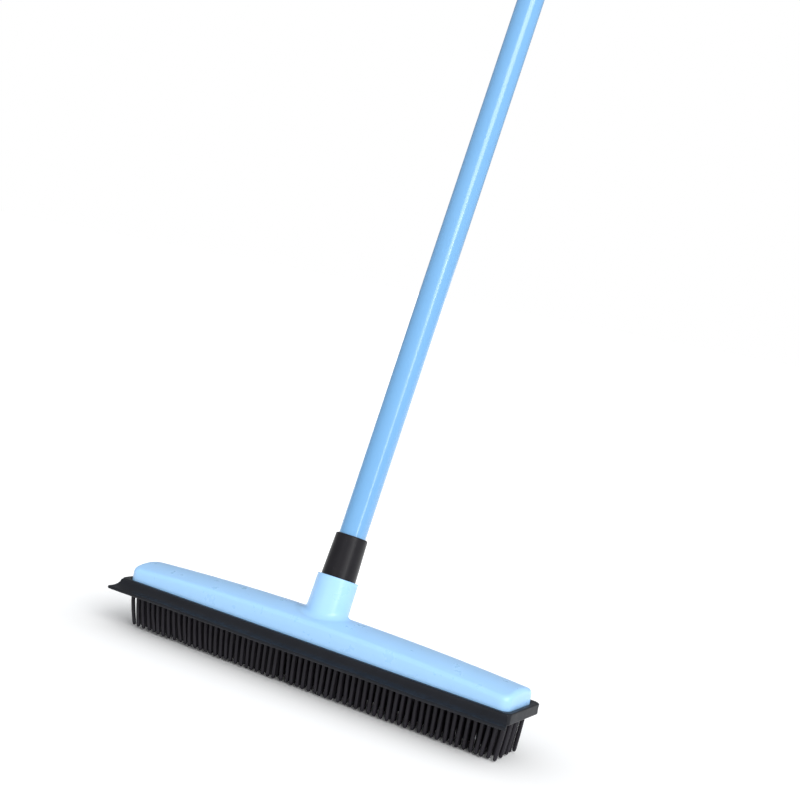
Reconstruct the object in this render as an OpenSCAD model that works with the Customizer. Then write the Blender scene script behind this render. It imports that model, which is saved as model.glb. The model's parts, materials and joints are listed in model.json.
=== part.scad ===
// Rubber carpet broom with a squeegee lip and a telescopic, screw-in handle.
// Millimetres, +Z up. The origin is the middle of the head on the plane of the bristle tips.
// X runs along the head, the squeegee lip faces -Y and the handle leans back towards +Y.

/* [Head] */
// Length of the moulded cover
cover_l = 338; // [260:1:420]
// Depth of the moulded cover, front to back
cover_d = 43; // [42:1:60]
// Height of the cover above the rubber rim at its two ends
cover_end_h = 9.2; // [6:0.1:12]
// Height of the cover above the rubber rim at its middle
cover_mid_h = 15; // [13:0.1:22]
// Wall of the cover
cover_wall = 2.4; // [1.8:0.1:3.2]
// Plan radius of the cover's corners
cover_corner_r = 7; // [4:0.5:12]
// Radius of the cover's long top edges
cover_edge_r = 3; // [2:0.25:5]

/* [Rubber] */
// Free length of a bristle
bristle_l = 29.5; // [20:0.5:45]
// Height of the rubber rim above the roots of the bristles
rim_h = 8.3; // [7.5:0.1:16]
// Thickness of the rubber wall around the cover
rim_wall = 4.2; // [2.4:0.1:5]
// How far the squeegee lip stands out from the rubber wall
lip_reach = 10.2; // [6:0.1:16]
// How far the lip runs past the rubber wall at each end
lip_overrun = 3.5; // [0:0.1:8]
// Thickness of the lip at its edge
lip_edge_t = 1.9; // [1.2:0.1:3]

/* [Bristles] */
// Spacing of the bristles along a row
bristle_pitch = 5.3; // [4.4:0.1:7]
// Spacing of the rows
row_pitch = 5.2; // [4.6:0.1:6.4]
// Diameter of a bristle at its root
bristle_root_d = 3.4; // [2.4:0.1:4]
// Diameter of a bristle at its tip
bristle_tip_d = 2.2; // [1.4:0.1:3]

/* [Socket] */
// Backward lean of the handle
handle_tilt = 15; // [8:0.5:22]
// Height of the socket's rim above the cover's lower edge, along the handle
socket_h = 45.5; // [40:0.5:60]
// Wall of the socket around the collar
socket_wall = 2; // [1.4:0.1:4]
// Pitch of the handle's screw thread
thread_pitch = 5; // [4:0.5:6]
// Outer diameter of the handle's screw thread
thread_d = 21; // [18:0.5:23]
// Length of the screw thread
thread_l = 27; // [20:0.5:30]

/* [Handle] */
// Outer diameter of the lower tube
tube_d = 21; // [16:0.1:26]
// Wall of both tubes
tube_wall = 0.7; // [0.5:0.1:1.0]
// Length of the lower tube
lower_l = 600; // [450:5:800]
// Length of the upper tube that stays inside the lower one when the handle is pulled out
kept_inside = 100; // [60:1:150]
// Gap all round between the upper tube and the lower one
tube_gap = 1.3; // [0.8:0.1:2]
// Bare length of the upper tube between the lock and the grip when the handle is pushed in
grip_gap = 16; // [8:1:80]
// Length of the collar above the socket's rim
collar_l = 33; // [26:0.5:45]
// Wall of the collar at its top
collar_wall = 1.95; // [1.2:0.05:3]
// How much wider the collar is at the socket's rim than at its top
collar_taper = 2.1; // [0:0.1:4]

/* [Lock and grip] */
// Wall of the lock nut over its finger ribs
nut_wall = 3.9; // [3.2:0.1:7]
// Length of the lock nut
nut_l = 36; // [30:1:50]
// Number of finger ribs around the lock nut
nut_ribs = 18; // [12:1:24]
// Wall of the grip
grip_wall = 4.5; // [3:0.1:7]
// Length of the grip
grip_l = 108; // [80:1:160]
// Diameter of the hole that hangs the broom up
hang_hole_d = 9; // [6:0.5:12]
// Thickness of the hanging eye
eye_t = 7; // [5:0.5:9]

/* [Hidden] */

$fn = 64;
eps = 0.01;
// Clearance between pieces that turn or slide on each other
run_gap = 0.08;
// Clearance around pieces that are pushed together and never move
seat_gap = 0.15;
// Clearance between the crests of the thread and the socket's wall
crest_gap = 0.3;

// Colours
blue = [0.60, 0.80, 0.96];
black = [0.15, 0.14, 0.16];
rubber = [0.19, 0.18, 0.20];
steel = [0.75, 0.77, 0.80];

// Levels of the head, measured from the bristle tips
rim_top_z = bristle_l + rim_h;
cover_z = rim_top_z - 0.3;
row_pad_t = 2;
floor_t = 2.5;
floor_z = bristle_l + row_pad_t;
base_z = floor_z + floor_t;
base_t = 2;
seat_z = base_z + base_t;

// Plan of the rubber tray that grips the cover
tray_l = cover_l + 2 * rim_wall + 2 * seat_gap;
tray_d = cover_d + 2 * rim_wall + 2 * seat_gap;
tray_corner_r = 4;

// The cover's top follows one long arc: this is its radius and the height of its crown
crown_rise = cover_mid_h - cover_end_h;
crown_r = (pow(cover_l / 2, 2) + pow(crown_rise, 2)) / (2 * crown_rise);
crown_z = cover_z + cover_mid_h;

// Screws stand along the middle of the base plate, clear of the socket
screw_pitch = (cover_l - 2 * 16) / 6;
screw_d = 3.5;
screw_head_d = 7;
screw_head_h = 1.6;
boss_d = 8;
boss_h = cover_end_h - cover_wall + cover_z - seat_z;

// Bristle rows, one node each: the middle row has a bristle at the origin
row_count = 7;
row_steps = 2 * floor((cover_l / 2 - 4) / bristle_pitch);
bed_l = (row_steps + 1) * bristle_pitch + bristle_root_d + 4;
bed_d = row_count * row_pitch;

// Handle, measured along its own axis from the cover's lower edge
collar_top_d = tube_d + 2 * collar_wall;
collar_d = collar_top_d + collar_taper;
socket_bore_d = thread_d + 2 * crest_gap;
socket_mouth_depth = 3.5;
socket_mouth_d = collar_d + 0.2 + 2 * crest_gap;
socket_d = socket_mouth_d + 2 * socket_wall;
socket_floor = socket_h - socket_mouth_depth - thread_l - 2.5;
collar_seat = 1.5;
collar_bottom = socket_h - collar_seat;
collar_top = socket_h + collar_l;
thread_root_d = thread_d - 3;
thread_core_d = 11;
tube_bottom = socket_h + 7;
tube_bore_d = tube_d - 2 * tube_wall;
tube_top = tube_bottom + lower_l;
upper_d = tube_bore_d - 2 * tube_gap;
upper_bore_d = upper_d - 2 * tube_wall;

// Lock: a split collet on the lower tube's end, closed by a nut
collet_skirt_l = 26;
collet_d = tube_d + 2 * 1.8;
collet_bottom = tube_top - collet_skirt_l;
collet_shoulder_t = 2.5;
finger_d = upper_d + 2 * run_gap + 2 * 2.2;
finger_l = nut_l - 9;
finger_base = tube_top + collet_shoulder_t;
finger_top = finger_base + finger_l;
finger_slot = 2.2;
nut_bottom = finger_base + crest_gap;
nut_top = nut_bottom + nut_l;
nut_bore_d = finger_d + 2 * crest_gap;
nut_d = nut_bore_d + 2 * nut_wall;
nut_rib_r = 1.6;

// Upper handle, pushed in
grip_d = upper_d + 2 * grip_wall;
grip_bottom = nut_top + grip_gap;
upper_top = grip_bottom + grip_l;
plug_l = 12;
plug_bottom = collar_top + 4;
upper_bottom = plug_bottom + plug_l;

// Groove rolled into the lower tube, which the plug meets at the end of its travel
stop_z = tube_top - kept_inside;
stop_depth = 0.7 * tube_gap;
stop_r = 2.5;

// Cap and hanging eye
cap_base_h = 10;
eye_w = grip_d - 3;
eye_h = 26;
eye_hole_z = upper_top + cap_base_h + eye_h - eye_w / 2;

// Puts its children on the handle's axis
module on_handle(height) {
    translate([0, 0, cover_z]) rotate([-handle_tilt, 0, 0]) translate([0, 0, height]) children();
}

// Flat rectangle with round corners, centred, with its lower face at z = 0
module plan(l, d, r, h) {
    linear_extrude(h) {
        square([l - 2 * r, d], center = true);
        square([l, d - 2 * r], center = true);
        for (sx = [-1, 1], sy = [-1, 1])
            translate([sx * (l / 2 - r), sy * (d / 2 - r)]) circle(r);
    }
}

// Outline of the cover's cross-section above z = 0 with rounded top corners
module cover_section(d, h, r) {
    translate([-d / 2, -2 * h]) square([d, 3 * h - r]);
    translate([-d / 2 + r, -r]) square([d - 2 * r, h + r]);
    for (s = [-1, 1]) translate([s * (d / 2 - r), h - r]) circle(r);
}

// Cover's outer form: its cross-section swept along the crown's arc and trimmed to its plan
module cover_form() {
    half_angle = asin(cover_l / 2 / crown_r) + 0.2;
    intersection() {
        translate([0, 0, base_z]) plan(cover_l, cover_d, cover_corner_r, crown_z - base_z + 1);
        translate([0, 0, crown_z - crown_r]) rotate([90, 0, 0]) rotate([0, 0, 90 - half_angle])
            rotate_extrude(angle = 2 * half_angle, $fn = 720)
                translate([crown_r, 0]) rotate([0, 0, -90])
                    translate([0, -cover_mid_h]) cover_section(cover_d, cover_mid_h, cover_edge_r);
        end_profile();
    }
}

// Hollow under the cover, or the space inside it, taken in from the outside by a wall
module cover_cavity(wall) {
    r = crown_r - wall;
    intersection() {
        translate([0, 0, base_z - 1])
            plan(cover_l - 2 * wall, cover_d - 2 * wall, cover_corner_r - wall / 2, crown_z - base_z + 2);
        translate([0, cover_d, crown_z - crown_r]) rotate([90, 0, 0])
            cylinder(h = 2 * cover_d, r = r, $fn = 720);
    }
}

// Side view of the cover with its two ends rounded over
module end_profile() {
    r = cover_edge_r;
    z = cover_z + cover_end_h;
    translate([0, cover_d, 0]) rotate([90, 0, 0]) linear_extrude(2 * cover_d) {
        translate([-cover_l / 2, base_z]) square([cover_l, z - r - base_z]);
        translate([-cover_l / 2 + r, base_z]) square([cover_l - 2 * r, crown_z - base_z + 1]);
        for (s = [-1, 1]) translate([s * (cover_l / 2 - r), z - r]) circle(r);
    }
}

// Concave foot between the cover's top and the leaning socket
module socket_foot() {
    steps = 5;
    base_rx = socket_d / 2 + 13;
    base_ry = cover_d / 2 - 2.5;
    top_r = socket_d / 2 + 0.5;
    rise = 9;
    for (i = [0:steps - 1]) hull() for (k = [i, i + 1]) {
        a = 90 * k / steps;
        spread = 1 - sin(a);
        lift = 1 - cos(a);
        translate([0, 0, cover_z])
            rotate([-handle_tilt * lift, 0, 0])
                translate([0, 0, cover_mid_h - 2.2 + rise * lift])
                    scale([top_r + (base_rx - top_r) * spread, top_r + (base_ry - top_r) * spread, 1])
                        cylinder(h = 0.2, r = 1, $fn = 32);
    }
}

// Moulded cover with the handle's socket
module head_cover() {
    color(blue) difference() {
        union() {
            difference() {
                cover_form();
                cover_cavity(cover_wall);
            }
            intersection() {
                union() {
                    on_handle(-8) cylinder(h = socket_h + 8, d1 = socket_d + 1.4, d2 = socket_d);
                    socket_foot();
                    inner_stiffeners();
                }
                translate([-cover_l / 2, -cover_d, seat_z]) cube([cover_l, 4 * cover_d, 4 * socket_h]);
            }
        }
        on_handle(socket_floor) cylinder(h = socket_h, d = socket_bore_d);
        on_handle(socket_h - socket_mouth_depth) cylinder(h = socket_h, d = socket_mouth_d);
        for (s = [-3, -2, -1, 1, 2, 3])
            translate([s * screw_pitch, 0, seat_z - 1]) cylinder(h = boss_h, d = screw_d + 2 * run_gap, $fn = 32);
    }
}

// Screw bosses, and ribs across the cover's depth, which end in its wall
module inner_stiffeners() {
    rib_t = 1.6;
    intersection() {
        union() {
            for (s = [-3, -2, -1, 1, 2, 3])
                translate([s * screw_pitch, 0, seat_z]) cylinder(h = socket_h, d = boss_d);
            for (s = [-2.5, -1.5, 1.5, 2.5])
                translate([s * screw_pitch - rib_t / 2, -cover_d / 2, seat_z]) cube([rib_t, cover_d, socket_h]);
        }
        cover_cavity(cover_wall / 2);
    }
}

// Plate that closes the cover from below
module base_plate() {
    inset = cover_wall + 0.3;
    color(black) difference() {
        translate([0, 0, base_z])
            plan(cover_l - 2 * inset, cover_d - 2 * inset, cover_corner_r - inset / 2, base_t);
        for (s = [-3, -2, -1, 1, 2, 3]) translate([s * screw_pitch, 0, base_z]) {
            translate([0, 0, -1]) cylinder(h = base_t + 2, d = screw_d + 2 * run_gap, $fn = 32);
            translate([0, 0, -1]) cylinder(h = 1 + screw_head_h + run_gap, d = screw_head_d + 0.4, $fn = 32);
        }
    }
}

// Pan-head screws that hold the base plate under the cover
module cover_screws() {
    color(steel) for (s = [-3, -2, -1, 1, 2, 3]) translate([s * screw_pitch, 0, base_z]) difference() {
        union() {
            cylinder(h = screw_head_h, d = screw_head_d, $fn = 32);
            cylinder(h = base_t + boss_h - 3, d = screw_d, $fn = 32);
        }
        for (a = [0, 90]) rotate(a) translate([-2, -0.4, -1]) cube([4, 0.8, 2]);
    }
}

// Rubber tray: a floor under the base plate and a wall around the cover
module rubber_body() {
    pocket_l = cover_l + 2 * seat_gap;
    pocket_d = cover_d + 2 * seat_gap;
    color(rubber) difference() {
        translate([0, 0, bristle_l]) plan(tray_l, tray_d, tray_corner_r, rim_top_z - bristle_l);
        translate([0, 0, base_z]) plan(pocket_l, pocket_d, cover_corner_r, rim_top_z);
        translate([-bed_l / 2, -bed_d / 2, bristle_l - 1]) cube([bed_l, bed_d, row_pad_t + 1]);
    }
}

// Squeegee lip: a concave blade along the front of the rubber tray
module squeegee_lip() {
    root_y = -tray_d / 2;
    edge_y = root_y - lip_reach;
    edge_z = bristle_l - 0.8;
    shoulder_z = rim_top_z - 3.5;
    scoop_r = 13;
    half_l = tray_l / 2 + lip_overrun;
    color(rubber) translate([-half_l, 0, 0]) rotate([90, 0, 90]) linear_extrude(2 * half_l) difference() {
        polygon([[root_y, bristle_l], [edge_y + 0.6, edge_z], [edge_y, edge_z + lip_edge_t / 2],
            [edge_y + 0.6, edge_z + lip_edge_t], [edge_y + 0.6, shoulder_z], [root_y, shoulder_z]]);
        scoop(edge_y + 0.6, edge_z + lip_edge_t, root_y - 1.2, shoulder_z, scoop_r);
    }
}

// Circle through two points of the lip's profile, which hollows its upper side
module scoop(ay, az, by, bz, r) {
    chord = norm([by - ay, bz - az]);
    back = sqrt(r * r - chord * chord / 4);
    nx = -(bz - az) / chord;
    nz = (by - ay) / chord;
    translate([(ay + by) / 2 + nx * back, (az + bz) / 2 + nz * back]) circle(r, $fn = 128);
}

// One row of bristles on its own strip of the rubber bed
module bristle_row(index) {
    from_middle = index - (row_count + 1) / 2;
    staggered = abs(from_middle) % 2;
    steps = row_steps + staggered;
    color(rubber) translate([0, from_middle * row_pitch, 0]) {
        translate([-bed_l / 2, -row_pitch / 2, bristle_l]) cube([bed_l, row_pitch, row_pad_t]);
        for (i = [0:steps]) translate([(i - steps / 2) * bristle_pitch, 0, 0])
            cylinder(h = bristle_l + eps, d1 = bristle_tip_d, d2 = bristle_root_d, $fn = 20);
    }
}

module bristle_row_1() { bristle_row(1); }
module bristle_row_2() { bristle_row(2); }
module bristle_row_3() { bristle_row(3); }
module bristle_row_4() { bristle_row(4); }
module bristle_row_5() { bristle_row(5); }
module bristle_row_6() { bristle_row(6); }
module bristle_row_7() { bristle_row(7); }

// Collar on the tube's end, with the male thread below it
module threaded_collar() {
    thread_bottom = collar_bottom - thread_l;
    threads = floor((thread_l - 2) / thread_pitch);
    shoulder_r = 1.2;
    color(black) on_handle(0) difference() {
        union() {
            rotate_extrude() {
                polygon([[0, collar_bottom], [collar_d / 2 + 0.05, collar_bottom],
                    [collar_top_d / 2, collar_top - shoulder_r],
                    [collar_top_d / 2 - shoulder_r, collar_top], [0, collar_top]]);
                translate([collar_top_d / 2 - shoulder_r, collar_top - shoulder_r]) circle(shoulder_r);
            }
            rotate_extrude() polygon(concat(
                [[0, collar_bottom + eps], [0, thread_bottom], [thread_root_d / 2 - 1, thread_bottom],
                    [thread_root_d / 2, thread_bottom + 1]],
                [for (i = [0:threads - 1]) for (p = thread_crest(i)) [p[0], thread_bottom + 1 + p[1]]],
                [[thread_root_d / 2, collar_bottom + eps]]));
        }
        translate([0, 0, tube_bottom]) cylinder(h = collar_top - tube_bottom + 1, d = tube_d + 2 * run_gap);
        translate([0, 0, thread_bottom - 1]) cylinder(h = tube_bottom - thread_bottom - 2, d = thread_core_d);
    }
}

// Points of one thread crest: a trapezium with rounded flanks
function thread_crest(i) = let (p = thread_pitch, z = i * p + 0.15 * p, r0 = thread_root_d / 2, r1 = thread_d / 2)
    [[r0, z], [r1 - 0.3, z + 0.25 * p], [r1, z + 0.32 * p], [r1, z + 0.43 * p],
        [r1 - 0.3, z + 0.5 * p], [r0, z + 0.75 * p]];

// Lower tube, which the collar joins to the head
module lower_tube() {
    bottom = tube_bottom + 0.05;
    groove_x = tube_d / 2 + stop_r - stop_depth;
    color(blue) on_handle(0) rotate_extrude() difference() {
        union() {
            translate([tube_bore_d / 2, bottom]) square([tube_wall, tube_top - bottom]);
            translate([groove_x, stop_z]) circle(stop_r + tube_wall);
        }
        translate([groove_x, stop_z]) circle(stop_r);
        translate([tube_d / 2, bottom]) square([4 * stop_r, tube_top - bottom]);
    }
}

// Split collet that squeezes the upper tube
module lock_collet() {
    color(black) on_handle(0) difference() {
        union() {
            translate([0, 0, collet_bottom]) cylinder(h = collet_skirt_l + collet_shoulder_t, d = collet_d);
            translate([0, 0, collet_bottom - 2]) cylinder(h = 2, d1 = tube_d + 1, d2 = collet_d);
            translate([0, 0, finger_base]) cylinder(h = finger_l - 5, d = finger_d);
            translate([0, 0, finger_top - 5]) cylinder(h = 5, d1 = finger_d, d2 = finger_d - 2.4);
        }
        translate([0, 0, collet_bottom - 3]) cylinder(h = tube_top - collet_bottom + 3, d = tube_d + 2 * run_gap);
        translate([0, 0, tube_top - 1]) cylinder(h = 2 * nut_l, d = upper_d + 2 * run_gap);
        for (a = [0, 60, 120]) rotate(a)
            translate([-finger_d, -finger_slot / 2, finger_base + 7]) cube([2 * finger_d, finger_slot, nut_l]);
    }
}

// Nut that closes the collet when it is turned
module lock_nut() {
    body_d = nut_d - 2 * nut_rib_r + 1;
    color(black) on_handle(0) difference() {
        union() {
            translate([0, 0, nut_bottom]) cylinder(h = 3, d1 = body_d - 2, d2 = body_d);
            translate([0, 0, nut_bottom + 3]) cylinder(h = nut_l - 9, d = body_d);
            translate([0, 0, nut_top - 6]) cylinder(h = 6, d1 = body_d, d2 = body_d - 6);
            for (i = [0:nut_ribs - 1]) rotate(i * 360 / nut_ribs)
                translate([nut_d / 2 - nut_rib_r, 0, nut_bottom + 4]) {
                    cylinder(h = nut_l - 13, r = nut_rib_r, $fn = 20);
                    translate([0, 0, nut_l - 13]) sphere(nut_rib_r, $fn = 20);
                    sphere(nut_rib_r, $fn = 20);
                }
        }
        translate([0, 0, nut_bottom - 1]) cylinder(h = finger_l - 3, d = nut_bore_d);
        translate([0, 0, nut_bottom + finger_l - 4 - eps])
            cylinder(h = 5.5, d1 = nut_bore_d, d2 = finger_d - 2.4 + 2 * crest_gap);
        translate([0, 0, nut_bottom - 1]) cylinder(h = nut_l + 2, d = upper_d + 2 * crest_gap);
    }
}

// Plug that guides the upper tube's end inside the lower tube and stops it pulling out
module glide_plug() {
    spigot_l = 14;
    color(black) on_handle(plug_bottom) difference() {
        union() {
            cylinder(h = 2, d1 = tube_bore_d - 3, d2 = tube_bore_d - 2 * run_gap);
            translate([0, 0, 2]) cylinder(h = plug_l - 2, d = tube_bore_d - 2 * run_gap);
            translate([0, 0, 2]) cylinder(h = plug_l - 2 + spigot_l, d = upper_bore_d - 2 * run_gap);
        }
        translate([0, 0, -1]) cylinder(h = plug_l + spigot_l + 2, d = upper_bore_d - 6.5);
        for (a = [0, 60, 120]) rotate(a) translate([-tube_d, -0.8, 4]) cube([2 * tube_d, 1.6, 5]);
    }
}

// Upper tube, which slides in the lower one
module upper_tube() {
    length = upper_top - upper_bottom - run_gap;
    color(steel) on_handle(upper_bottom + run_gap) difference() {
        cylinder(h = length, d = upper_d);
        translate([0, 0, -1]) cylinder(h = length + 2, d = upper_bore_d);
    }
}

// Soft ribbed grip pushed over the upper tube
module grip_sleeve() {
    grooves = 9;
    groove_pitch = (grip_l - 24) / (grooves - 1);
    color(rubber) on_handle(grip_bottom) difference() {
        union() {
            cylinder(h = 5, d1 = grip_d - 5, d2 = grip_d);
            translate([0, 0, 5]) cylinder(h = grip_l - 5, d = grip_d);
        }
        for (i = [0:grooves - 1]) translate([0, 0, 12 + i * groove_pitch])
            rotate_extrude() translate([grip_d / 2 + 0.4, 0]) circle(1.6, $fn = 24);
        translate([0, 0, -1]) cylinder(h = grip_l + 2, d = upper_d + 2 * run_gap);
    }
}

// Cap with the hanging eye
module end_cap() {
    plug_in = 18;
    color(black) on_handle(upper_top) difference() {
        union() {
            translate([0, 0, -plug_in]) cylinder(h = plug_in + 1, d = upper_bore_d - 2 * run_gap);
            translate([0, 0, run_gap]) cylinder(h = cap_base_h - 4, d = grip_d);
            translate([0, 0, cap_base_h - 4 + run_gap]) cylinder(h = 4, d1 = grip_d, d2 = grip_d - 6);
            intersection() {
                union() {
                    translate([-eye_w / 2, -eye_t / 2, 2]) cube([eye_w, eye_t, eye_hole_z - upper_top - 2]);
                    translate([0, eye_t / 2, eye_hole_z - upper_top]) rotate([90, 0, 0])
                        cylinder(h = eye_t, d = eye_w);
                }
                cylinder(h = 2 * eye_h, d = grip_d);
            }
        }
        translate([0, eye_t, eye_hole_z - upper_top]) rotate([90, 0, 0])
            cylinder(h = 2 * eye_t, d = hang_hole_d);
    }
}

head_cover();
base_plate();
cover_screws();
rubber_body();
squeegee_lip();
bristle_row_1();
bristle_row_2();
bristle_row_3();
bristle_row_4();
bristle_row_5();
bristle_row_6();
bristle_row_7();
threaded_collar();
lower_tube();
lock_collet();
lock_nut();
glide_plug();
upper_tube();
grip_sleeve();
end_cap();
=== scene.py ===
"""Rubber carpet broom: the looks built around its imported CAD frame, in metres."""

import json
import math

import bpy
import numpy as np
from mathutils import Matrix, Vector


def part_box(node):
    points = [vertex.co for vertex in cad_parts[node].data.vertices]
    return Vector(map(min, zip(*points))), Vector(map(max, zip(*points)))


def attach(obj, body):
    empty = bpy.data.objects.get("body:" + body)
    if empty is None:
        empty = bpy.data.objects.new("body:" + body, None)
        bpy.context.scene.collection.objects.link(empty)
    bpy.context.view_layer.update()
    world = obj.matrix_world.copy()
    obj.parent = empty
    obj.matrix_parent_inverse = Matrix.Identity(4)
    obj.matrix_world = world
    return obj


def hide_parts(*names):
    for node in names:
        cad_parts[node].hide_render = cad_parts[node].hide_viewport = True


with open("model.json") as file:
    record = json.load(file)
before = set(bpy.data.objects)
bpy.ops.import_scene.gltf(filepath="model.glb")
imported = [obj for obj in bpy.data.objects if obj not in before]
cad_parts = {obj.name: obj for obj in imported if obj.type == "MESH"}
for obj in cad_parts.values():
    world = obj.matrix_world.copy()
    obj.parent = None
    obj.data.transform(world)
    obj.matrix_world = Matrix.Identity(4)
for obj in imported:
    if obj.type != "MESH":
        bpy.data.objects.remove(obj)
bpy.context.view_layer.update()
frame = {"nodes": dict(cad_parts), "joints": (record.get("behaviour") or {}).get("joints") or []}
MM = 0.001
TAU = 2 * math.pi


# ------------------------------------------------------------------ sizes from the frame
def box_of(node):
    """Lowest and highest corner of a CAD node as two numpy arrays."""
    low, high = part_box(node)
    return np.array(low), np.array(high)


cover_low, cover_high = box_of("head_cover")
tray_low, tray_high = box_of("rubber_body")
lip_low, lip_high = box_of("squeegee_lip")
bed_low, bed_high = box_of("bristle_row_1")
ROWS = 7
row_nodes = [f"bristle_row_{i}" for i in range(1, ROWS + 1)]
row_pitch = bed_high[1] - bed_low[1]

COVER_L = cover_high[0] - cover_low[0]
COVER_D = -2 * cover_low[1]
COVER_CORNER = 7 * MM
COVER_Z = tray_high[2] - 0.3 * MM
COVER_BASE = cover_low[2]
MID_H = 18.1 * MM
CROWN_RISE = 5.5 * MM
DOME_R = 57 * MM
CROWN_R = ((COVER_L / 2) ** 2 + CROWN_RISE**2) / (2 * CROWN_RISE)
CROWN_Z = COVER_Z + MID_H

# Directions of the leaning handle: along it, across the head, and square to both.
AXIS = np.array(Vector(next(j for j in frame["joints"] if j["name"] == "handle_rise")["axis"]))
SIDE = np.array([1.0, 0.0, 0.0])
BACK = np.cross(AXIS, SIDE)
ORIGIN = np.array([0.0, 0.0, COVER_Z])

# Heights below run along the handle's axis from ORIGIN.
SOCKET_H = 45.5 * MM
SOCKET_R = 15.9 * MM
SOCKET_BASE_R = 16.5 * MM
MOUTH_R = 13.9 * MM
MOUTH_DEPTH = 3.5 * MM
BORE_R = 10.8 * MM
SOCKET_FLOOR = 12.5 * MM
THREAD_PITCH = 5 * MM
THREAD_R = 10.45 * MM
THREAD_ROOT = 9 * MM
THREAD_BOTTOM = 17 * MM
COLLAR_BOTTOM = 44 * MM
COLLAR_TOP = 78.5 * MM
COLLAR_R = 13.5 * MM
COLLAR_TOP_R = 12.45 * MM
TUBE_R = 10.5 * MM
NUT_BOTTOM = 655.3 * MM
NUT_L = 36 * MM
UPPER_R = 8.5 * MM
GRIP_BOTTOM = 707.3 * MM
GRIP_L = 108 * MM
GRIP_R = 13 * MM


# ------------------------------------------------------------------ materials
class Nodes:
    """Short-hand for building one material's node tree."""

    def __init__(self, name):
        self.material = bpy.data.materials.new(name)
        self.material.use_nodes = True
        self.tree = self.material.node_tree
        self.shader = self.tree.nodes["Principled BSDF"]
        self.coords = self.tree.nodes.new("ShaderNodeTexCoord").outputs["Object"]

    def link(self, a, b):
        self.tree.links.new(a, b)

    def stretched(self, stretch):
        """Object coordinates scaled per axis."""
        n = self.tree.nodes.new("ShaderNodeMapping")
        n.inputs["Scale"].default_value = stretch
        self.link(self.coords, n.inputs["Vector"])
        return n.outputs["Vector"]

    def noise(self, scale, detail, rough, vector=None):
        n = self.tree.nodes.new("ShaderNodeTexNoise")
        n.inputs["Scale"].default_value = scale
        n.inputs["Detail"].default_value = detail
        n.inputs["Roughness"].default_value = rough
        self.link(vector or self.coords, n.inputs["Vector"])
        return n.outputs["Fac"]

    def cells(self, scale, vector):
        n = self.tree.nodes.new("ShaderNodeTexVoronoi")
        n.inputs["Scale"].default_value = scale
        self.link(vector, n.inputs["Vector"])
        return n.outputs["Distance"]

    def ramp(self, value, low, high, out_low=0.0, out_high=1.0):
        n = self.tree.nodes.new("ShaderNodeMapRange")
        n.clamp = True
        for key, number in zip(("From Min", "From Max", "To Min", "To Max"), (low, high, out_low, out_high)):
            n.inputs[key].default_value = number
        self.link(value, n.inputs["Value"])
        return n.outputs["Result"]

    def math(self, operation, a, b):
        n = self.tree.nodes.new("ShaderNodeMath")
        n.operation = operation
        for socket, value in zip(n.inputs, (a, b)):
            if isinstance(value, (int, float)):
                socket.default_value = value
            else:
                self.link(value, socket)
        return n.outputs["Value"]

    def mix(self, factor, a, b):
        n = self.tree.nodes.new("ShaderNodeMix")
        n.data_type = "RGBA"
        if isinstance(factor, (int, float)):
            n.inputs["Factor"].default_value = factor
        else:
            self.link(factor, n.inputs["Factor"])
        for key, value in (("A", a), ("B", b)):
            socket = next(s for s in n.inputs if s.name == key and s.type == "RGBA")
            if isinstance(value, tuple):
                socket.default_value = (*value, 1.0)
            else:
                self.link(value, socket)
        return next(s for s in n.outputs if s.type == "RGBA")

    def bumps(self, *layers):
        """Stacks (height, distance in metres) layers into the shader's normal."""
        normal = None
        for height, distance in layers:
            n = self.tree.nodes.new("ShaderNodeBump")
            n.inputs["Strength"].default_value = 1.0
            n.inputs["Distance"].default_value = distance
            self.link(height, n.inputs["Height"])
            if normal is not None:
                self.link(normal, n.inputs["Normal"])
            normal = n.outputs["Normal"]
        self.link(normal, self.shader.inputs["Normal"])

    def set(self, **values):
        for key, value in values.items():
            socket = self.shader.inputs[key.replace("_", " ")]
            if isinstance(value, (int, float, tuple)):
                socket.default_value = value
            else:
                self.link(value, socket)


def cover_plastic():
    n = Nodes("cover_plastic")
    cloud = n.noise(14, 3, 0.6)
    fine = n.noise(90, 4, 0.6)
    colour = n.mix(n.ramp(cloud, 0.3, 0.7), (0.335, 0.590, 0.905), (0.355, 0.610, 0.925))
    colour = n.mix(n.ramp(fine, 0.35, 0.75, 0, 0.35), colour, (0.33, 0.58, 0.88))
    handled = n.ramp(n.noise(38, 3, 0.7), 0.58, 0.74, 0, 0.10)
    colour = n.mix(handled, colour, (0.24, 0.44, 0.70))
    n.set(
        Base_Color=colour,
        Roughness=n.ramp(n.noise(60, 4, 0.65), 0.25, 0.75, 0.25, 0.34),
        Specular_IOR_Level=0.5,
        Subsurface_Weight=0.08,
        Subsurface_Radius=(0.6, 1.0, 1.4),
        Subsurface_Scale=0.0016,
    )
    n.bumps(
        (n.noise(900, 2, 0.5), 0.000005),
        (n.noise(140, 3, 0.5), 0.000016),
        (n.noise(24, 2, 0.5), 0.00012),
    )
    return n.material


def tube_paint():
    n = Nodes("tube_paint")
    colour = n.mix(n.ramp(n.noise(9, 3, 0.6), 0.3, 0.7), (0.142, 0.345, 0.610), (0.156, 0.362, 0.630))
    along = n.stretched((1.0, 1.0, 0.12))
    scuffs = n.ramp(n.noise(420, 4, 0.7, along), 0.66, 0.74)
    colour = n.mix(n.math("MULTIPLY", scuffs, 0.10), colour, (0.52, 0.72, 0.95))
    n.set(
        Base_Color=colour,
        Roughness=n.ramp(n.noise(70, 4, 0.6), 0.25, 0.75, 0.16, 0.25),
        Specular_IOR_Level=0.55,
        Coat_Weight=0.35,
        Coat_Roughness=0.12,
    )
    n.bumps((n.noise(520, 2, 0.5), 0.000016), (n.noise(60, 2, 0.5), 0.00006))
    return n.material


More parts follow.
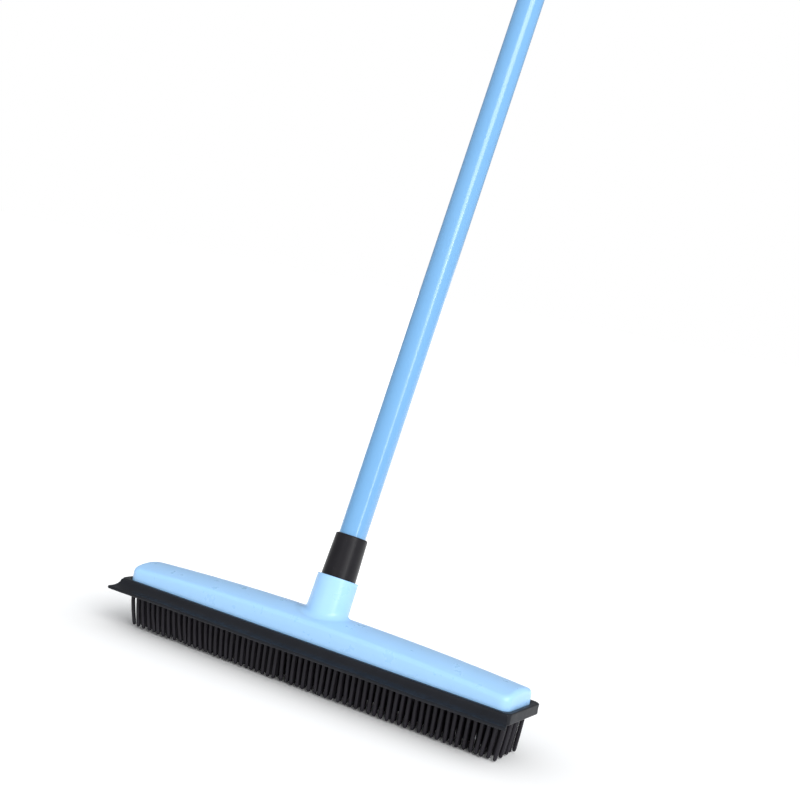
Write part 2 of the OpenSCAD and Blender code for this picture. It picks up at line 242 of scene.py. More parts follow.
def rubber(name, base, dusty, rough_low, rough_high, grain=1.0):
    n = Nodes(name)
    cloud = n.noise(35, 4, 0.65)
    colour = n.mix(n.ramp(cloud, 0.3, 0.75), base, dusty)
    lint = n.ramp(n.cells(150, n.stretched((1.0, 1.0, 1.7))), 0.055, 0.03)
    patch = n.ramp(n.noise(41, 2, 0.5), 0.63, 0.69)
    colour = n.mix(n.math("MULTIPLY", n.math("MULTIPLY", lint, patch), 0.22), colour, (0.30, 0.28, 0.28))
    n.set(
        Base_Color=colour,
        Roughness=n.ramp(n.noise(110, 4, 0.6), 0.25, 0.75, rough_low, rough_high),
        Specular_IOR_Level=0.24,
    )
    n.bumps((n.noise(1300, 3, 0.6), 0.000022 * grain), (n.noise(210, 3, 0.55), 0.00005 * grain))
    return n.material


def moulded(name, base, second, rough_low, rough_high):
    """Satin moulded plastic with a fine spark-eroded grain."""
    n = Nodes(name)
    colour = n.mix(n.ramp(n.noise(30, 3, 0.6), 0.3, 0.7), base, second)
    rub = n.ramp(n.noise(380, 4, 0.7, n.stretched((1.0, 1.0, 0.25))), 0.64, 0.76)
    colour = n.mix(n.math("MULTIPLY", rub, 0.12), colour, (0.16, 0.155, 0.165))
    n.set(
        Base_Color=colour,
        Roughness=n.ramp(n.noise(140, 4, 0.6), 0.25, 0.75, rough_low, rough_high),
        Specular_IOR_Level=0.25,
    )
    n.bumps((n.noise(2400, 2, 0.55), 0.000016), (n.noise(420, 3, 0.5), 0.00002))
    return n.material


def steel(name, base, rough_low, rough_high, brushed=True):
    n = Nodes(name)
    along = n.stretched((1.0, 1.0, 0.02)) if brushed else n.coords
    lines = n.noise(1500, 4, 0.6, along)
    colour = n.mix(n.ramp(lines, 0.3, 0.7), tuple(0.86 * c for c in base), base)
    n.set(
        Base_Color=colour,
        Metallic=1.0,
        Roughness=n.ramp(n.noise(300, 3, 0.6, along), 0.25, 0.75, rough_low, rough_high),
    )
    n.bumps((lines, 0.000006), (n.noise(40, 2, 0.5), 0.00003))
    return n.material


MATERIALS = {
    "cover_plastic": cover_plastic(),
    "tube_paint": tube_paint(),
    "rubber": rubber("rubber", (0.0042, 0.0052, 0.0085), (0.0078, 0.0090, 0.0135), 0.36, 0.50),
    "bristle_rubber": rubber(
        "bristle_rubber", (0.011, 0.0095, 0.0135), (0.018, 0.016, 0.022), 0.45, 0.6, 0.7
    ),
    "grip_rubber": rubber("grip_rubber", (0.014, 0.014, 0.015), (0.024, 0.024, 0.026), 0.62, 0.78, 1.6),
    "collar_plastic": moulded(
        "collar_plastic", (0.0045, 0.0038, 0.0058), (0.0072, 0.0062, 0.0088), 0.30, 0.40
    ),
    "inner_plastic": moulded("inner_plastic", (0.030, 0.030, 0.033), (0.042, 0.042, 0.045), 0.45, 0.58),
    "upper_steel": steel("upper_steel", (0.66, 0.68, 0.71), 0.18, 0.30),
    "screw_steel": steel("screw_steel", (0.62, 0.63, 0.65), 0.24, 0.38, brushed=False),
}


# ------------------------------------------------------------------ mesh helpers
def make_piece(name, verts, faces, slot, body, replaced=(), sharp=38):
    """A smooth-shaded object from points and faces, riding on a CAD body."""
    mesh = bpy.data.meshes.new(name)
    mesh.from_pydata([tuple(map(float, v)) for v in verts], [], [tuple(map(int, f)) for f in faces])
    mesh.validate()
    mesh.polygons.foreach_set("use_smooth", [True] * len(mesh.polygons))
    mesh.set_sharp_from_angle(angle=math.radians(sharp))
    mesh.materials.append(MATERIALS[slot])
    mesh.update()
    obj = bpy.data.objects.new(name, mesh)
    bpy.context.scene.collection.objects.link(obj)
    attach(obj, body)
    if replaced:
        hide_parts(*replaced)
    return obj


class Builder:
    """Collects points and faces."""

    def __init__(self):
        self.verts = []
        self.faces = []

    def add(self, points):
        first = len(self.verts)
        self.verts.extend(np.asarray(p, float) for p in points)
        return list(range(first, len(self.verts)))

    def bridge(self, ring_a, ring_b):
        """Quads between two closed rings of equal length."""
        count = len(ring_a)
        for i in range(count):
            j = (i + 1) % count
            self.faces.append((ring_a[i], ring_a[j], ring_b[j], ring_b[i]))

    def cap(self, ring, flip=False):
        self.faces.append(tuple(reversed(ring)) if flip else tuple(ring))


def clamp(value):
    return min(1.0, max(0.0, value))


def on_axis(radius, angle, height):
    """A point around the handle's axis."""
    return ORIGIN + SIDE * radius * math.cos(angle) + BACK * radius * math.sin(angle) + AXIS * height


def revolve(builder, profile, segments, radius_at):
    """Bridged rings for a profile of (radius, height), with radius_at shaping each point."""
    rings = []
    for radius, height in profile:
        ring = []
        for i in range(segments):
            angle = TAU * i / segments
            ring.append(on_axis(radius_at(radius, angle, height), angle, height))
        rings.append(builder.add(ring))
    for a, b in zip(rings, rings[1:]):
        builder.bridge(a, b)
    return rings


def arc(cx, cy, radius, start, end, steps):
    """Points of a circle's arc in a profile, angles in degrees."""
    return [
        (cx + radius * math.cos(math.radians(a)), cy + radius * math.sin(math.radians(a)))
        for a in np.linspace(start, end, steps + 1)
    ]


# ------------------------------------------------------------------ head cover
ARC_STEPS = 10
LONG_STEPS = 110
SIDE_STEPS = 14


def outline(length, depth, radius):
    """Rounded rectangle, counter-clockwise: front path, right side, back path, left side."""
    corner_x, corner_y = length / 2 - radius, -depth / 2 + radius
    front = arc(-corner_x, corner_y, radius, 180, 270, ARC_STEPS)
    front += [(x, -depth / 2) for x in np.linspace(-corner_x, corner_x, LONG_STEPS + 1)[1:-1]]
    front += arc(corner_x, corner_y, radius, 270, 360, ARC_STEPS)
    half = depth / 2 - radius
    side = [(length / 2, y) for y in np.linspace(-half, half, SIDE_STEPS + 1)[1:-1]]
    back = [(x, -y) for x, y in reversed(front)]
    return front, side, back, [(-x, -y) for x, y in side]


def ring_points(length, depth, radius):
    front, right, back, left = outline(length, depth, radius)
    return front + right + back + left


def cover_top(x, y):
    """Height of the cover's crowned top."""
    drop = CROWN_R - math.sqrt(CROWN_R**2 - x * x)
    return CROWN_Z - drop - (DOME_R - math.sqrt(DOME_R**2 - y * y))


def edge_radius(x):
    """Rounding of the top edge: larger round the two ends."""
    near_end = max(0.0, (abs(x) - (COVER_L / 2 - 9 * MM)) / (9 * MM))
    return (2.9 + 0.6 * min(1.0, near_end) ** 1.3) * MM


def cover_skin(x, y):
    """Height of the cover's outer skin, with the rounding of its long edges."""
    r = edge_radius(x)
    depth = COVER_D / 2 - abs(y)
    if depth >= r:
        return cover_top(x, y)
    depth = max(depth, 0.0)
    return cover_top(x, y) - r + math.sqrt(max(0.0, r * r - (r - depth) ** 2))


def build_cover(builder):
    rings = []
    draft = 0.25 * MM
    base = ring_points(COVER_L, COVER_D, COVER_CORNER)
    shoulder = [cover_top(x, y) - edge_radius(x) for x, y in base]
    levels = 6
    for k in range(levels):
        share = k / levels
        inset = draft * share
        pts = ring_points(COVER_L - 2 * inset, COVER_D - 2 * inset, COVER_CORNER - inset)
        heights = [COVER_BASE + (z - COVER_BASE) * share for z in shoulder]
        rings.append(builder.add([(x, y, z) for (x, y), z in zip(pts, heights)]))
    round_steps = 10
    shape = (COVER_L - 2 * draft, COVER_D - 2 * draft, COVER_CORNER - draft)
    for k in range(round_steps + 1):
        theta = math.radians(90 * k / round_steps)
        pts = ring_points(*shape)
        ring = []
        for (x, y), z in zip(pts, shoulder):
            r = edge_radius(x)
            shift = r * (1 - math.cos(theta))
            nx, ny = outward(x, y, *shape)
            px, py = x - nx * shift, y - ny * shift
            ring.append((px, py, cover_top(px, py) - r * (1 - math.sin(theta))))
        rings.append(builder.add(ring))
    for a, b in zip(rings, rings[1:]):
        builder.bridge(a, b)
    builder.cap(rings[0], flip=True)
    fill_top(builder, rings[-1])


def outward(x, y, length, depth, radius):
    """Outward direction of the rounded rectangle at a point of its outline."""
    cx = max(abs(x) - (length / 2 - radius), 0.0)
    cy = max(abs(y) - (depth / 2 - radius), 0.0)
    size = math.hypot(cx, cy) or 1.0
    return math.copysign(cx / size, x), math.copysign(cy / size, y)


def fill_top(builder, ring):
    """Grid between the front and the back path of the innermost ring."""
    path = 2 * ARC_STEPS + 1 + LONG_STEPS
    front = ring[:path]
    right = ring[path : path + SIDE_STEPS - 1]
    back = list(reversed(ring[path + SIDE_STEPS - 1 : 2 * path + SIDE_STEPS - 1]))
    left = list(reversed(ring[2 * path + SIDE_STEPS - 1 :]))
    columns = []
    for i, (a, b) in enumerate(zip(front, back)):
        if i == 0:
            columns.append([a, *left, b])
        elif i == path - 1:
            columns.append([a, *right, b])
        else:
            pa, pb = builder.verts[a], builder.verts[b]
            inner = []
            for k in range(1, SIDE_STEPS):
                x, y = (pa + (pb - pa) * k / SIDE_STEPS)[:2]
                inner.append((x, y, cover_top(x, y)))
            columns.append([a, *builder.add(inner), b])
    for c, d in zip(columns, columns[1:]):
        for k in range(SIDE_STEPS):
            builder.faces.append((c[k], d[k], d[k + 1], c[k + 1]))


def socket_radius(height):
    share = (height + 8 * MM) / (SOCKET_H + 8 * MM)
    return SOCKET_BASE_R + (SOCKET_R - SOCKET_BASE_R) * share


def meet_cover(angle):
    """Height along the axis at which the socket's wall meets the cover's top."""
    low, high = -5 * MM, 30 * MM
    for _ in range(40):
        mid = (low + high) / 2
        p = on_axis(socket_radius(mid), angle, mid)
        low, high = (mid, high) if p[2] < cover_skin(p[0], p[1]) else (low, mid)
    return (low + high) / 2


def build_socket(builder):
    segments = 128
    foot_steps = 14
    flare_side, flare_front = 9.0 * MM, 3.2 * MM
    climb_side, climb_front = 6.0 * MM, 3.6 * MM
    sink = 0.06 * MM
    edge_margin = 0.6 * MM
    rim_r = 0.7 * MM
    lip_r = 0.45 * MM
    columns = []
    for i in range(segments):
        angle = TAU * i / segments
        nx, ny = math.cos(angle), math.sin(angle)
        meets = meet_cover(angle)
        foot = on_axis(socket_radius(meets), angle, meets)
        fade = 1.0 if ny <= 0 else max(0.0, 1 - ny * 1.15) ** 1.2
        flare = (flare_side * nx * nx + flare_front * ny * ny) * fade + 0.25 * MM
        climb = (climb_side * nx * nx + climb_front * ny * ny) * fade + 0.3 * MM
        top = on_axis(socket_radius(meets + climb), angle, meets + climb)
        ex = foot[0] + nx * flare
        ey = min(foot[1] + ny * flare, COVER_D / 2 - edge_margin)
        end = np.array([ex, ey, cover_skin(ex, ey) - sink])
        points = []
        for k in range(foot_steps + 1):
            s = k / foot_steps
            points.append((1 - s) ** 2 * end + 2 * s * (1 - s) * foot + s * s * top)
        start = meets + climb
        wall_top = SOCKET_H - rim_r
        for k in range(1, 7):
            height = start + (wall_top - start) * k / 6
            points.append(on_axis(socket_radius(height), angle, height))
        columns.append(points)
    rings = [builder.add([c[k] for c in columns]) for k in range(len(columns[0]))]
    rim = arc(SOCKET_R - rim_r, SOCKET_H - rim_r, rim_r, 0, 90, 6)[1:]
    rim += arc(MOUTH_R + lip_r, SOCKET_H - lip_r, lip_r, 90, 180, 5)
    rim += [(MOUTH_R, SOCKET_H - MOUTH_DEPTH + 0.2 * MM), (MOUTH_R - 0.2 * MM, SOCKET_H - MOUTH_DEPTH)]
    rim += [(BORE_R + 0.5 * MM, SOCKET_H - MOUTH_DEPTH), (BORE_R, SOCKET_H - MOUTH_DEPTH - 0.5 * MM)]
    steps = 110
    top_of_thread, floor = SOCKET_H - MOUTH_DEPTH - 1.2 * MM, SOCKET_FLOOR + 0.5 * MM
    rim += [(BORE_R, top_of_thread + (floor - top_of_thread) * k / steps) for k in range(steps + 1)]

    def groove(radius, angle, height):
        if radius != BORE_R or height > top_of_thread:
            return radius
        return radius + 0.8 * MM * thread_shape(angle, height, floor, top_of_thread)

    inner = revolve(builder, rim, segments, groove)
    for a, b in zip(rings, rings[1:]):
        builder.bridge(a, b)
    builder.bridge(rings[-1], inner[0])
    builder.cap(inner[-1])
    builder.cap(rings[0], flip=True)


def thread_shape(angle, height, bottom, top):
    """Rounded trapezium of a right-hand thread, 0 at the root and 1 at the crest, faded at its ends."""
    phase = (height / THREAD_PITCH - angle / TAU) % 1.0
    crest = clamp((0.36 - abs(phase - 0.5)) / 0.22)
    crest = crest * crest * (3 - 2 * crest)
    run_out = 1.5 * MM
    return crest * (clamp((height - bottom) / run_out) * clamp((top - height) / run_out))


cover = Builder()
build_cover(cover)
build_socket(cover)
make_piece("cover_shell", cover.verts, cover.faces, "cover_plastic", "head", ["head_cover"])


# ------------------------------------------------------------------ rubber tray
def build_tray(builder):
    length, depth = tray_high[0] - tray_low[0], tray_high[1] - tray_low[1]
    corner = 4 * MM
    low, high = tray_low[2], tray_high[2]
    wall = (length - COVER_L) / 2
    recess = 0.5 * MM
    foot_h = 4 * MM
    profile = [(6.4 * MM, low + recess), (5.9 * MM, low)]
    profile += [(1.3 * MM - x, y) for x, y in arc(0, low + 1.3 * MM, 1.3 * MM, 270, 360, 6)]
    profile += [(0.12 * MM, (low + high) / 2)]
    profile += [(1.0 * MM - x, y) for x, y in arc(0, high - 1.0 * MM, 1.0 * MM, 0, 90, 6)]
    profile += [(wall - 1.5 * MM - x, y) for x, y in arc(0, high - 1.3 * MM, 1.3 * MM, 90, 180, 6)]
    profile += [(wall - 0.1 * MM, high - 3.2 * MM), (wall, COVER_BASE)]
    rings = []
    for inset, z in profile:
        if z > low + foot_h:
            radius = corner + (COVER_CORNER - corner) * clamp(inset / wall)
        elif inset < wall - 1.5 * MM:
            radius = max(corner - inset, 0.8 * MM)
        else:
            radius = COVER_CORNER
        pts = ring_points(length - 2 * inset, depth - 2 * inset, radius)
        rings.append(builder.add([(x, y, z) for x, y in pts]))
    for a, b in zip(rings, rings[1:]):
        builder.bridge(a, b)
    builder.cap(rings[0], flip=True)
    builder.cap(rings[-1])


tray = Builder()
build_tray(tray)
make_piece("rubber_tray", tray.verts, tray.faces, "rubber", "head", ["rubber_body"])


# ------------------------------------------------------------------ squeegee lip
def lip_profile():
    """Section of the lip in (y, z): a thin rounded edge, a scooped upper side and a flat underside."""
    root, edge = lip_high[1], lip_low[1]
    low, rim = lip_low[2], tray_high[2] - 0.7 * MM
    thick = 2.5 * MM
    edge_r = thick / 2
    pts = [(root + 1.0 * MM, low + 1.1 * MM), (root - 0.5 * MM, low + 0.85 * MM)]
    for k in range(1, 7):
        s = k / 7
        pts.append((root + (edge + edge_r - root) * s, low + 0.8 * MM * (1 - s) ** 1.2))
    pts += [(edge + edge_r + x, low + edge_r + y) for x, y in arc(0, 0, edge_r, 270, 90, 8)]
    start = np.array([edge + edge_r, low + thick])
    hollow = np.array([root - 0.9 * MM, low + thick + 1.0 * MM])
    end = np.array([root - 0.25 * MM, rim])
    for k in range(1, 21):
        s = k / 20
        pts.append(tuple((1 - s) ** 2 * start + 2 * s * (1 - s) * hollow + s * s * end))
    pts += [(root + 0.3 * MM, rim + 0.25 * MM), (root + 1.0 * MM, rim)]
    return pts


def build_lip(builder):
    section = np.array(lip_profile())
    centre = section.mean(axis=0)
    reach = lip_high[1] - lip_low[1]
    half, root_half = lip_high[0], tray_high[0] - 1.6 * MM
    round_from = 0.9955
    shares = [-1.0, -0.9985, -round_from]
    shares += list(np.linspace(-0.985, 0.985, 90))
    shares += [round_from, 0.9985, 1.0]
    rings = []
    for share in shares:
        inset = max(0.0, (abs(share) - round_from) / (1 - round_from))
        size = 1 - 0.07 * inset**2
        x0 = share * half
        wave = 0.20 * MM * math.sin(x0 * 41) + 0.12 * MM * math.sin(x0 * 97 + 1.3)
        ring = []
        for y, z in section:
            y2, z2 = centre + (np.array([y, z]) - centre) * size
            out = min(1.0, max(0.0, (lip_high[1] - y2) / reach))
            x = share * (root_half + (half - root_half) * out**0.8)
            ring.append((x, max(y2, lip_low[1]), max(z2 + (wave + 0.3 * MM) * out**2, lip_low[2])))
        rings.append(builder.add(ring))
    for a, b in zip(rings, rings[1:]):
        builder.bridge(a, b)
    builder.cap(rings[0], flip=True)
    builder.cap(rings[-1])


lip = Builder()
build_lip(lip)
make_piece("squeegee_blade", lip.verts, lip.faces, "rubber", "head", ["squeegee_lip"])


# ------------------------------------------------------------------ bristles
# Sideways lean of the bristles along the head: places in mm, leans in degrees.
LEAN_PLACES = (-170, -115, -50, 50, 140, 170)
LEAN_DEGREES = (15, 14, 5, 2, 1, -5)


def build_bristles(builder):
    random = np.random.default_rng(11)
    bed_z = bed_high[2] - 2 * MM
    root_r, tip_r = 1.62 * MM, 1.48 * MM
    pitch = 5.3 * MM
    middle_steps = 62
    row_shift = (0, 1.1, -0.5, 0.8, -1.1, 0.4, -0.8)
    segments = 12
    stations = [0.0, 0.015, 0.04, 0.10, 0.22, 0.36, 0.5, 0.64, 0.78, 0.90, 0.955, 0.985]
    length = bed_z - 0.2 * MM
    turn = np.arange(segments) * TAU / segments
    for row in range(ROWS):
        from_middle = row - (ROWS - 1) // 2
        steps = middle_steps + abs(from_middle) % 2
        y0 = from_middle * row_pitch
        for i in range(steps + 1):
            x0 = (i - steps / 2) * pitch + row_shift[row] * MM
            lean = math.radians(np.interp(x0 / MM, LEAN_PLACES, LEAN_DEGREES) + random.normal(0, 1.0))
            tilt = math.radians(0.8 * from_middle + random.normal(0, 1.0))
            curl = random.uniform(0.3, 0.8)
            own = length * random.uniform(0.993, 1.0)
            rings = []
            position = np.array([x0, y0, bed_z + 0.2 * MM])
            before = 0.0
            for s in stations:
                bend = (1 - curl) + curl * 2 * s
                direction = np.array([math.sin(lean * bend), math.sin(tilt * bend), -1.0])
                direction /= np.linalg.norm(direction)
                position = position + direction * own * (s - before)
                before = s
                r = root_r + (tip_r - root_r) * s
                r += 0.45 * MM * max(0.0, 1 - s / 0.04) ** 2
                if s > 0.95:
                    r *= 0.93 if s < 0.98 else 0.62
                u = np.cross(direction, [0.0, 1.0, 0.0])
                u /= np.linalg.norm(u)
                v = np.cross(direction, u)
                rings.append(builder.add([position + (u * math.cos(a) + v * math.sin(a)) * r for a in turn]))
            for a, b in zip(rings, rings[1:]):
                builder.bridge(a, b)
            tip = builder.add([position + direction * own * 0.008])[0]
            last = rings[-1]
            for k in range(segments):
                builder.faces.append((last[k], last[(k + 1) % segments], tip))
            builder.cap(rings[0], flip=True)


def build_bed(builder):
    length = bed_high[0] - bed_low[0]
    depth = ROWS * row_pitch
    low = bed_high[2] - 2 * MM + 0.12 * MM
    profile = [(0.5 * MM, low), (0.15 * MM, low + 0.15 * MM), (0.0, low + 0.5 * MM), (0.0, bed_high[2])]
    rings = []
    for inset, z in profile:
        pts = ring_points(length - 2 * inset, depth - 2 * inset, 2 * MM)
        rings.append(builder.add([(x, y, z) for x, y in pts]))
    for a, b in zip(rings, rings[1:]):
        builder.bridge(a, b)
    builder.cap(rings[0], flip=True)
    builder.cap(rings[-1])


bristles = Builder()
build_bed(bristles)
build_bristles(bristles)
make_piece("bristle_field", bristles.verts, bristles.faces, "bristle_rubber", "head", row_nodes, sharp=60)


# ------------------------------------------------------------------ collar with its thread
def build_collar(builder):
    segments = 128
    shoulder = 1.3 * MM
    end_hole_r = 5.5 * MM
    profile = [(end_hole_r, THREAD_BOTTOM + 6 * MM), (end_hole_r, THREAD_BOTTOM)]
    profile += [(THREAD_ROOT - 1 * MM, THREAD_BOTTOM), (THREAD_ROOT, THREAD_BOTTOM + 1 * MM)]
    steps = 130
    low, high = THREAD_BOTTOM + 1.2 * MM, COLLAR_BOTTOM - 1.2 * MM
    profile += [(THREAD_ROOT, low + (high - low) * k / steps) for k in range(steps + 1)]
    profile += [(THREAD_ROOT, COLLAR_BOTTOM - 0.2 * MM), (THREAD_ROOT + 0.3 * MM, COLLAR_BOTTOM)]
    profile += [(COLLAR_R - 0.4 * MM, COLLAR_BOTTOM), (COLLAR_R, COLLAR_BOTTOM + 0.4 * MM)]
    for k in range(1, 9):
        share = k / 8
        height = COLLAR_BOTTOM + 0.4 * MM + (COLLAR_TOP - shoulder - COLLAR_BOTTOM - 0.4 * MM) * share
        profile.append((COLLAR_R + (COLLAR_TOP_R - COLLAR_R) * share, height))
    profile += arc(COLLAR_TOP_R - shoulder, COLLAR_TOP - shoulder, shoulder, 8, 90, 7)
    profile += [(TUBE_R + 0.30 * MM, COLLAR_TOP), (TUBE_R + 0.10 * MM, COLLAR_TOP - 0.25 * MM)]
    profile += [(TUBE_R + 0.10 * MM, COLLAR_TOP - 6 * MM)]

    def ridge(radius, angle, height):
        if radius != THREAD_ROOT or not low <= height <= high:
            return radius
        return radius + (THREAD_R - THREAD_ROOT) * thread_shape(angle, height, low, high)

    rings = revolve(builder, profile, segments, ridge)
    builder.cap(rings[0])
    builder.cap(rings[-1])


collar = Builder()
build_collar(collar)
make_piece("screw_collar", collar.verts, collar.faces, "collar_plastic", "collar", ["threaded_collar"])


# ------------------------------------------------------------------ lock nut and grip
def build_nut(builder):
    ribs = 18
    body, crest = 13.6 * MM, 15.0 * MM
    low, high = NUT_BOTTOM, NUT_BOTTOM + NUT_L
    bore = UPPER_R + 0.3 * MM
    profile = [(11.1 * MM, low + 2 * MM), (11.1 * MM, low), (12.3 * MM, low)]
    profile += arc(12.3 * MM, low + 0.8 * MM, 0.8 * MM, 290, 350, 4)
    profile += [(body, low + 3 * MM)]
    profile += [(body, low + 3 * MM + (NUT_L - 9 * MM) * k / 40) for k in range(1, 41)]
    profile += [(body - 0.9 * MM, high - 4 * MM), (body - 2.0 * MM, high - 1.9 * MM)]
    profile += arc(body - 3.6 * MM, high - 1.1 * MM, 1.1 * MM, 20, 90, 6)
    profile += [(bore + 0.3 * MM, high), (bore, high - 0.3 * MM), (bore, high - 8 * MM)]

    def ribbed(radius, angle, height):
        if abs(radius - body) > 1e-9:
            return radius
        wave = (0.5 + 0.5 * math.cos(ribs * angle)) ** 1.6
        ends = clamp((height - low - 3 * MM) / (2.5 * MM)) * clamp((high - 6 * MM - height) / (2.5 * MM))
        return radius + (crest - body) * wave * math.sin(ends * math.pi / 2)

    rings = revolve(builder, profile, ribs * 16, ribbed)
    builder.bridge(rings[-1], rings[0])


def build_grip(builder):
    low, high = GRIP_BOTTOM, GRIP_BOTTOM + GRIP_L
    bore = UPPER_R + 0.1 * MM
    profile = [(bore, low + 0.4 * MM), (bore + 0.4 * MM, low)]
    profile += arc(GRIP_R - 3.4 * MM, low + 1.2 * MM, 1.2 * MM, 280, 350, 5)
    steps = 230
    start, end = low + 4 * MM, high - 1.4 * MM
    grooves = 9
    first, spacing = low + 12 * MM, (GRIP_L - 24 * MM) / (grooves - 1)
    for k in range(steps + 1):
        height = start + (end - start) * k / steps
        radius = GRIP_R - 0.9 * MM * max(0.0, 1 - (height - start) / (3 * MM)) ** 2
        nearest = abs((height - first + spacing / 2) % spacing - spacing / 2)
        if first - spacing / 2 < height < high - 12 * MM + spacing / 2:
            radius -= 1.15 * MM * math.exp(-((nearest / (1.25 * MM)) ** 4))
        profile.append((radius, height))
    profile += arc(GRIP_R - 1.3 * MM, high - 1.3 * MM, 1.3 * MM, 5, 90, 6)
    profile += [(bore + 0.4 * MM, high), (bore, high - 0.4 * MM)]

    def knurl(radius, angle, height):
        if radius < GRIP_R - 0.3 * MM or not start < height < end:
            return radius
        return radius - 0.10 * MM * (0.5 + 0.5 * math.cos(48 * angle))

    rings = revolve(builder, profile, 192, knurl)
    builder.bridge(rings[-1], rings[0])


nut = Builder()
build_nut(nut)
make_piece("lock_ring", nut.verts, nut.faces, "collar_plastic", "lock", ["lock_nut"])
grip = Builder()
build_grip(grip)
make_piece("hand_grip", grip.verts, grip.faces, "grip_rubber", "upper_handle", ["grip_sleeve"], sharp=50)


# ------------------------------------------------------------------ CAD nodes that keep their shape
KEPT = {
    "base_plate": "inner_plastic",
    "cover_screws": "screw_steel",
    "lower_tube": "tube_paint",
    "lock_collet": "collar_plastic",
    "glide_plug": "inner_plastic",
    "upper_tube": "upper_steel",
    "end_cap": "collar_plastic",
}
for node, slot_name in KEPT.items():
    obj = frame["nodes"][node]
    obj.data.materials.clear()
    obj.data.materials.append(MATERIALS[slot_name])


# ------------------------------------------------------------------ floor, light and camera
def pale_floor():
    """Pale floor with a painted glow that gives off a little light, more the further it lies from the head,
    so the darker floor under the head is a painted shadow.
    """
    n = Nodes("pale_floor")
    head_reach = 0.16
    tone = n.ramp(n.noise(3, 3, 0.5), 0.3, 0.7)
    colour = n.mix(tone, (0.94, 0.94, 0.94), (0.96, 0.96, 0.96))
    n.set(Base_Color=colour, Roughness=0.9, Specular_IOR_Level=0.1)
    n.bumps((n.noise(240, 2, 0.5), 0.00002))
    parts = n.tree.nodes.new("ShaderNodeSeparateXYZ")
    n.link(n.coords, parts.inputs[0])
    across = n.math("ABSOLUTE", parts.outputs["X"], 0.0)
    past_end = n.math("MAXIMUM", n.math("SUBTRACT", across, head_reach), 0.0)
    squares = n.math("ADD", n.math("POWER", past_end, 2.0), n.math("POWER", parts.outputs["Y"], 2.0))
    away = n.math("POWER", squares, 0.5)
    # painted shadow and glow: emission is nil under the head and grows away from it
    n.set(Emission_Color=(1.0, 1.0, 1.0, 1.0), Emission_Strength=n.ramp(away, 0.02, 0.30, 0.0, 0.42))
    return n.material


def make_floor():
    builder = Builder()
    rings = []
    for radius in (0.5, 2.0, 8.0, 40.0):
        angles = np.arange(64) * TAU / 64
        rings.append(builder.add([(radius * math.cos(a), radius * math.sin(a), 0) for a in angles]))
    builder.cap(rings[0])
    for a, b in zip(rings, rings[1:]):
        builder.bridge(b, a)
    mesh = bpy.data.meshes.new("floor")
    mesh.from_pydata([tuple(v) for v in builder.verts], [], builder.faces)
    mesh.materials.append(pale_floor())
    floor = bpy.data.objects.new("floor", mesh)
    floor.location.z = -0.0002
    bpy.context.scene.collection.objects.link(floor)


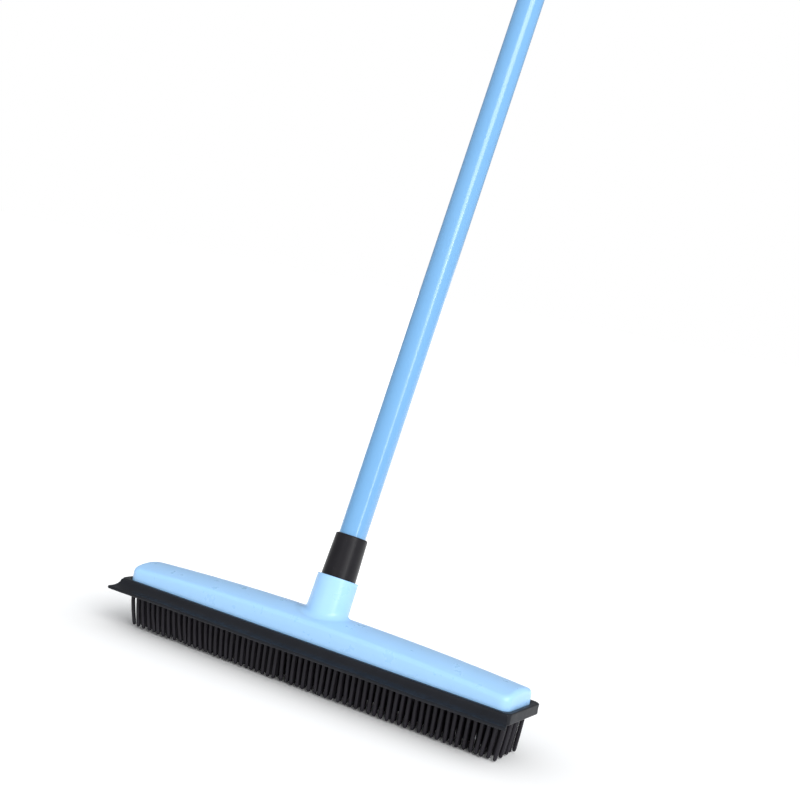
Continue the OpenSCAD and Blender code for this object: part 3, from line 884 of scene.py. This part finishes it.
def make_world():
    """White to the camera; as a light it is brighter towards the front right than to the left."""
    world = bpy.data.worlds.new("studio")
    world.use_nodes = True
    tree = world.node_tree
    shown = tree.nodes["Background"]
    shown.inputs["Color"].default_value = (1, 1, 1, 1)
    shown.inputs["Strength"].default_value = 1.0
    lighting = tree.nodes.new("ShaderNodeBackground")
    lighting.inputs["Color"].default_value = (0.97, 0.985, 1.0, 1)
    where = tree.nodes.new("ShaderNodeTexCoord")
    facing = tree.nodes.new("ShaderNodeVectorMath")
    facing.operation = "DOT_PRODUCT"
    facing.inputs[1].default_value = Vector((0.66, -0.52, 0.54)).normalized()
    grade = tree.nodes.new("ShaderNodeMapRange")
    for key, number in zip(("From Min", "From Max", "To Min", "To Max"), (-0.8, 0.9, 0.28, 0.92)):
        grade.inputs[key].default_value = number
    tree.links.new(where.outputs["Generated"], facing.inputs[0])
    tree.links.new(facing.outputs["Value"], grade.inputs["Value"])
    tree.links.new(grade.outputs["Result"], lighting.inputs["Strength"])
    path = tree.nodes.new("ShaderNodeLightPath")
    mix = tree.nodes.new("ShaderNodeMixShader")
    tree.links.new(path.outputs["Is Camera Ray"], mix.inputs["Fac"])
    tree.links.new(lighting.outputs["Background"], mix.inputs[1])
    tree.links.new(shown.outputs["Background"], mix.inputs[2])
    tree.links.new(mix.outputs["Shader"], tree.nodes["World Output"].inputs["Surface"])
    bpy.context.scene.world = world


def aimed(obj, place, target):
    obj.location = place
    obj.rotation_mode = "QUATERNION"
    obj.rotation_quaternion = (Vector(target) - Vector(place)).to_track_quat("-Z", "Y")
    bpy.context.scene.collection.objects.link(obj)


def softbox(name, azimuth, distance, height, size, power):
    light = bpy.data.lights.new(name, "AREA")
    light.shape = "RECTANGLE"
    light.size, light.size_y = size
    light.energy = power
    a = math.radians(azimuth)
    obj = bpy.data.objects.new(name, light)
    aimed(obj, (math.sin(a) * distance, -math.cos(a) * distance, height), (0, 0.1, 0.3))


def make_lights():
    sun = bpy.data.lights.new("sun", "SUN")
    sun.energy = 1.45
    sun.angle = math.radians(35)
    aimed(bpy.data.objects.new("sun", sun), (1.70, -1.10, 1.60), (0, 0, 0))
    softbox("key_strip", 62, 1.6, 0.45, (0.20, 1.3), 5.0)
    softbox("left_strip", -5, 1.7, 0.24, (0.12, 0.50), 1.8)


VIEW_AZIMUTH = 29.424
VIEW_ELEVATION = 4.7694
VIEW_ROLL = 11.0267
VIEW_PLACE = Vector((0.53751, -0.90078, 0.31040))
LENS = 64.446


def make_camera():
    a, e, r = (math.radians(v) for v in (VIEW_AZIMUTH, VIEW_ELEVATION, VIEW_ROLL))
    back = Vector((math.sin(a) * math.cos(e), -math.cos(a) * math.cos(e), math.sin(e)))
    level = Vector((math.cos(a), math.sin(a), 0))
    upright = back.cross(level)
    right = level * math.cos(r) + upright * math.sin(r)
    up = upright * math.cos(r) - level * math.sin(r)
    data = bpy.data.cameras.new("camera")
    data.sensor_width = 36
    data.lens = LENS
    data.clip_start, data.clip_end = 0.01, 100
    camera = bpy.data.objects.new("camera", data)
    camera.matrix_world = Matrix((right, up, back)).transposed().to_4x4()
    camera.location = VIEW_PLACE
    bpy.context.scene.collection.objects.link(camera)
    bpy.context.scene.camera = camera


make_floor()
make_world()
make_lights()
make_camera()
bpy.context.scene.view_settings.view_transform = "Standard"
